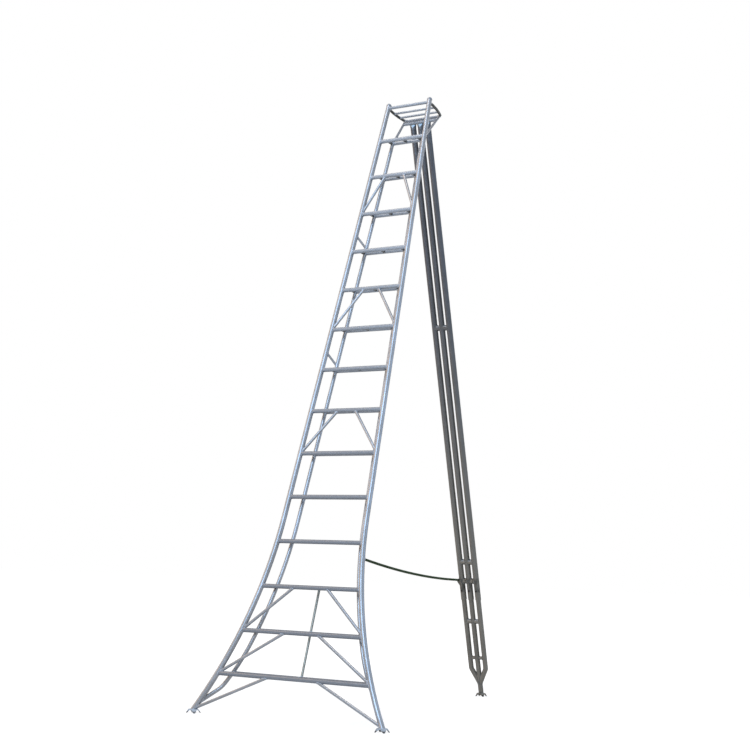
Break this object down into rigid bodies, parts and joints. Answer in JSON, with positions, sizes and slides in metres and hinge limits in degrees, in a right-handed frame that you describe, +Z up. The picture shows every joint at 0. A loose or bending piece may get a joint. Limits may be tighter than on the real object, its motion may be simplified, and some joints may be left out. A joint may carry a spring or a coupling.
{
  "type": "tripod ladder",
  "caption": "Three-legged aluminium orchard ladder with flared stiles, double tube treads, an open top cradle, a folding telescopic rear leg and a tie rope.",
  "frame": {"origin": "on the ground, in the middle of the box round the three feet", "axes": "+X to the climber's right along the treads, +Y from the ladder towards the rear leg, +Z up"},
  "size_m": [1.4414, 2.7914, 4.3341],
  "materials": {
    "ladder_aluminium": "bright mill-finished tube with fine drawing lines, weld beads at the joints",
    "leg_aluminium": "dull grey mill-finished tube",
    "cap_plastic": "grey moulded plastic",
    "dark_steel": "blackened steel bolts",
    "rope": "dark green laid rope"
  },
  "bodies": {
    "ladder": {"centre_rods": "ladder_aluminium", "cradle_bars": "ladder_aluminium", "cradle_frame": "ladder_aluminium", "cradle_struts": "ladder_aluminium", "foot_left": "ladder_aluminium", "foot_right": "ladder_aluminium", "front_braces": "ladder_aluminium", "hinge_rod": "ladder_aluminium", "rear_bar_01": "ladder_aluminium", "rear_bar_02": "ladder_aluminium", "rear_bar_03": "ladder_aluminium", "rear_bar_04": "ladder_aluminium", "rear_bar_05": "ladder_aluminium", "rear_bar_06": "ladder_aluminium", "rear_bar_07": "ladder_aluminium", "rear_bar_08": "ladder_aluminium", "rear_bar_09": "ladder_aluminium", "rear_bar_10": "ladder_aluminium", "rear_bar_11": "ladder_aluminium", "rear_bar_12": "ladder_aluminium", "rear_bar_13": "ladder_aluminium", "rear_bar_14": "ladder_aluminium", "rear_rail_left": "ladder_aluminium", "rear_rail_right": "ladder_aluminium", "rope": "rope", "rope_eye": "ladder_aluminium", "rope_stopper": "rope", "side_struts": "ladder_aluminium", "stile_caps": "cap_plastic", "stile_left": "ladder_aluminium", "stile_right": "ladder_aluminium", "top_bar": "ladder_aluminium", "tread_bar_01": "ladder_aluminium", "tread_bar_02": "ladder_aluminium", "tread_bar_03": "ladder_aluminium", "tread_bar_04": "ladder_aluminium", "tread_bar_05": "ladder_aluminium", "tread_bar_06": "ladder_aluminium", "tread_bar_07": "ladder_aluminium", "tread_bar_08": "ladder_aluminium", "tread_bar_09": "ladder_aluminium", "tread_bar_10": "ladder_aluminium", "tread_bar_11": "ladder_aluminium", "tread_bar_12": "ladder_aluminium", "tread_bar_13": "ladder_aluminium", "tread_bar_14": "ladder_aluminium", "tread_links": "ladder_aluminium"},
    "upper_leg": {"hinge_barrel": "ladder_aluminium", "leg_upper_centre": "leg_aluminium", "leg_upper_left": "leg_aluminium", "leg_upper_right": "leg_aluminium", "leg_upper_spacers": "leg_aluminium", "lock_bolts": "dark_steel", "rope_knot": "rope", "rope_lug": "leg_aluminium"},
    "lower_leg": {"foot_leg": "leg_aluminium", "leg_lower_centre": "leg_aluminium", "leg_lower_left": "leg_aluminium", "leg_lower_right": "leg_aluminium", "leg_lower_spacers": "leg_aluminium"}
  },
  "joints": [
    {"name": "leg_hinge", "type": "hinge", "parent": "ladder", "child": "upper_leg", "pos_m": [0, 0.08441, 4.22404], "axis": [-1, 0, 0], "range_deg": [0, 33], "deforming": ["rope"]},
    {"name": "leg_extension", "type": "slide", "parent": "upper_leg", "child": "lower_leg", "axis": [0, 0.291, -0.9567], "range_m": [-0.15, 0.3]}
  ]
}
